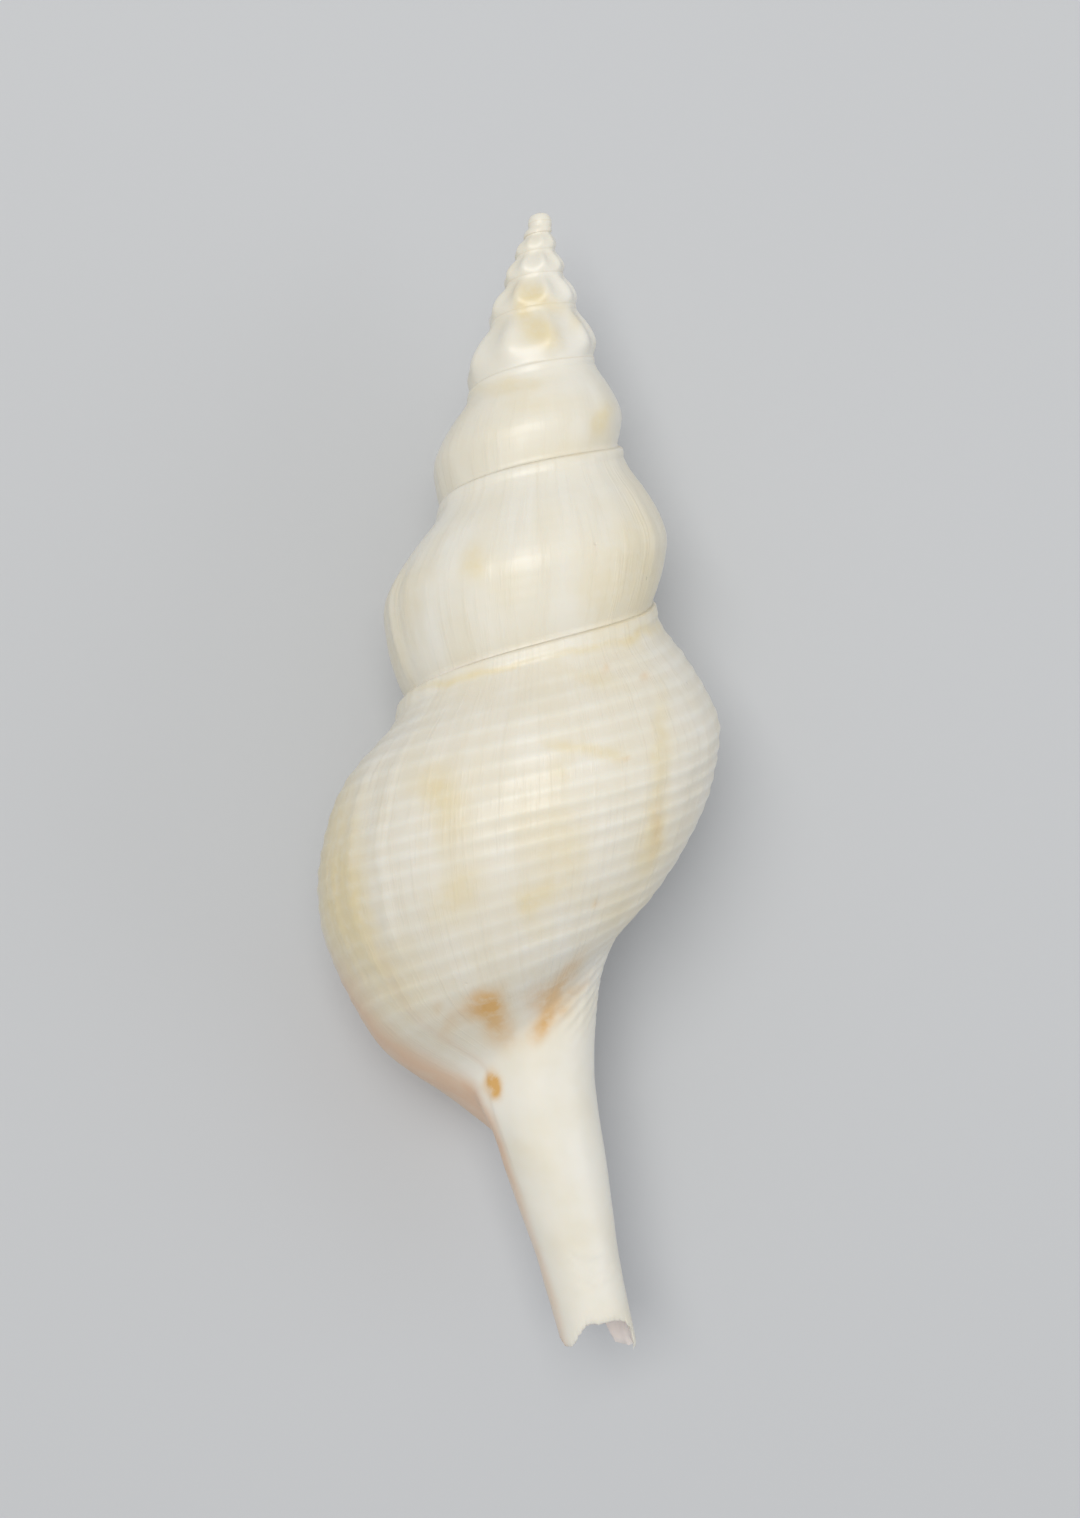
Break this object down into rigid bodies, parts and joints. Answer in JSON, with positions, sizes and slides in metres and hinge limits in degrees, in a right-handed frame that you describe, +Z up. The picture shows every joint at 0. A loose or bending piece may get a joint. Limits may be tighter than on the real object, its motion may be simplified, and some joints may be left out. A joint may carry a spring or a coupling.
{
  "type": "sea snail shell",
  "caption": "White spindle-shaped sea snail shell lying on its aperture: ribbed pointed spire, full body whorl with spiral cords, and a long open canal with a broken tip.",
  "frame": {"origin": "centre of the bounding box's bottom face, on the surface that the shell lies on", "axes": "+Y along the coiling axis towards the spire tip, +Z up through the back of the shell, +X towards the side away from the outer lip"},
  "size_m": [0.021, 0.06, 0.0192],
  "materials": {
    "shell": "satin cream white shell with pale yellow and orange-brown stains"
  },
  "bodies": {
    "root": {"shell": "shell"}
  },
  "joints": []
}
